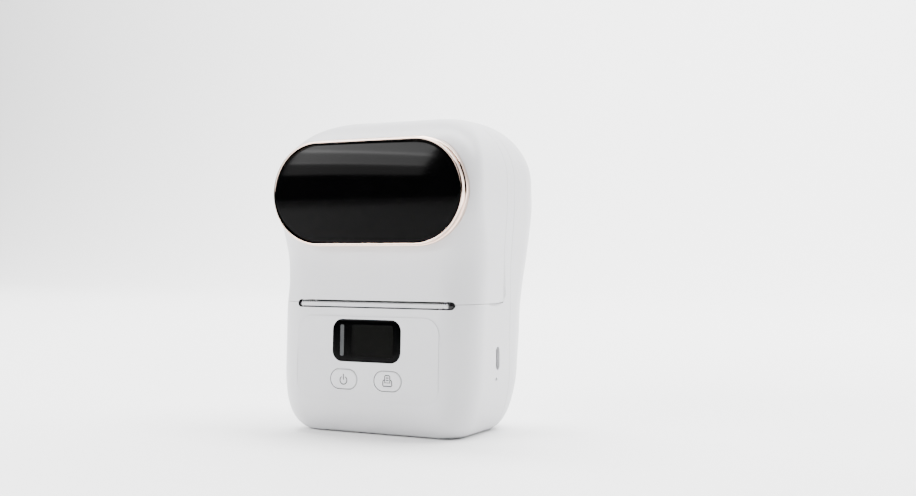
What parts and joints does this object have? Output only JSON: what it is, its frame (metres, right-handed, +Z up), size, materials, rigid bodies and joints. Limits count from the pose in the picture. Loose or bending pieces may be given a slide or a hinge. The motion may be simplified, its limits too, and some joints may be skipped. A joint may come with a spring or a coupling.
{
  "type": "thermal label printer",
  "caption": "Free-standing thermal label printer with hinged front lid, pill-shaped gloss face panel, small display, push buttons and a label slot with tear bar.",
  "frame": {"origin": "middle of the footprint's bounding box, on the resting surface", "axes": "+Z up, the front with display and label slot faces -Y, +X to the viewer's right"},
  "size_m": [0.0938, 0.0789, 0.127],
  "materials": {
    "white_plastic": "satin",
    "button_plastic": "satin",
    "black_gloss": "gloss",
    "rose_gold": "polished",
    "display_glass": "gloss",
    "board_green": "satin",
    "chip_black": "matt",
    "can_metal": "satin",
    "battery_wrap": "satin",
    "grey_plastic": "matt",
    "socket_cream": "satin",
    "lead_red": "satin",
    "flex_amber": "gloss",
    "gear_white": "satin",
    "zinc_sheet": "zinc plated",
    "screw_steel": "satin",
    "cast_aluminium": "satin",
    "head_ceramic": "glazed",
    "brass_pinion": "satin",
    "platen_rubber": "matt",
    "tear_plastic": "satin"
  },
  "bodies": {
    "base": {"front_housing": "white_plastic", "rear_cover": "white_plastic", "display_window": "black_gloss", "display_module": "display_glass", "main_board": "board_green", "side_board": "board_green", "processor_chip": "chip_black", "radio_module": "can_metal", "tact_switches": "chip_black", "reset_switch": "chip_black", "usb_port": "can_metal", "usb_tongue": "chip_black", "battery_pack": "battery_wrap", "battery_holder": "grey_plastic", "battery_socket": "socket_cream", "battery_lead": "lead_red", "flex_socket": "socket_cream", "head_flex": "flex_amber", "roll_bay": "grey_plastic", "mechanism_frame": "zinc_sheet", "mechanism_screws": "screw_steel", "board_screws": "screw_steel", "case_screws": "screw_steel", "side_board_screws": "screw_steel", "head_pivot_pin": "screw_steel", "head_springs": "screw_steel", "paper_sensor": "chip_black", "stepper_motor": "can_metal", "tear_bar": "tear_plastic", "hinge_brackets": "grey_plastic", "hinge_pins": "screw_steel"},
    "lid": {"lid_cover": "white_plastic", "lid_liner": "grey_plastic", "face_panel": "black_gloss", "trim_ring": "rose_gold", "liner_screws": "screw_steel", "platen_bushes": "chip_black"},
    "platen": {"platen_roller": "platen_rubber", "platen_shaft": "screw_steel", "platen_gear": "gear_white"},
    "head": {"print_head": "head_ceramic", "head_heatsink": "cast_aluminium"},
    "motor_rotor": {"motor_pinion": "brass_pinion"},
    "idler": {"drive_idler": "gear_white"},
    "guide_left": {"left_guide": "grey_plastic"},
    "guide_right": {"right_guide": "grey_plastic"},
    "guide_gear": {"guide_pinion": "gear_white"},
    "power_key": {"power_button": "button_plastic"},
    "feed_key": {"feed_button": "button_plastic"},
    "reset_key": {"reset_button": "button_plastic"}
  },
  "joints": [
    {"name": "lid_hinge", "type": "hinge", "parent": "base", "child": "lid", "pos_m": [0, -0.0095, 0.1208], "axis": [-1, 0, 0], "range_deg": [0, 88]},
    {"name": "platen_spin", "type": "hinge", "parent": "lid", "child": "platen", "pos_m": [0.002, -0.0223, 0.0579], "axis": [1, 0, 0], "continuous": true},
    {"name": "idler_spin", "type": "hinge", "parent": "base", "child": "idler", "pos_m": [-0.032, -0.01231, 0.05756], "axis": [1, 0, 0], "continuous": true},
    {"name": "motor_spin", "type": "hinge", "parent": "base", "child": "motor_rotor", "pos_m": [-0.026, -0.0032, 0.049], "axis": [1, 0, 0], "continuous": true},
    {"name": "head_rock", "type": "hinge", "parent": "base", "child": "head", "pos_m": [0.002, -0.0127, 0.0482], "axis": [1, 0, 0], "range_deg": [0, 1.2], "stiffness_Nm_per_rad": 0.4, "springref_deg": -11.46, "deforming": ["head_springs"]},
    {"name": "left_guide_slide", "type": "slide", "parent": "base", "child": "guide_left", "axis": [1, 0, 0], "range_m": [0, 0.015]},
    {"name": "right_guide_slide", "type": "slide", "parent": "base", "child": "guide_right", "axis": [1, 0, 0], "range_m": [-0.015, 0]},
    {"name": "guide_pinion_spin", "type": "hinge", "parent": "base", "child": "guide_gear", "pos_m": [0.002, 0.0095, 0.0656], "axis": [0, 0, 1], "range_deg": [0, 210]},
    {"name": "power_press", "type": "slide", "parent": "base", "child": "power_key", "axis": [0, 1, 0], "range_m": [0, 0.0005], "stiffness_N_per_m": 2000},
    {"name": "feed_press", "type": "slide", "parent": "base", "child": "feed_key", "axis": [0, 1, 0], "range_m": [0, 0.0005], "stiffness_N_per_m": 2000},
    {"name": "reset_press", "type": "slide", "parent": "base", "child": "reset_key", "axis": [-1, 0, 0], "range_m": [0, 0.00025], "stiffness_N_per_m": 2500}
  ],
  "couplings": [
    {"joint": "idler_spin", "follows": "platen_spin", "ratio": -1.5},
    {"joint": "motor_spin", "follows": "platen_spin", "ratio": 4.75},
    {"joint": "right_guide_slide", "follows": "left_guide_slide", "ratio": -1},
    {"joint": "guide_pinion_spin", "follows": "left_guide_slide", "rad_per_m": 238.1}
  ]
}
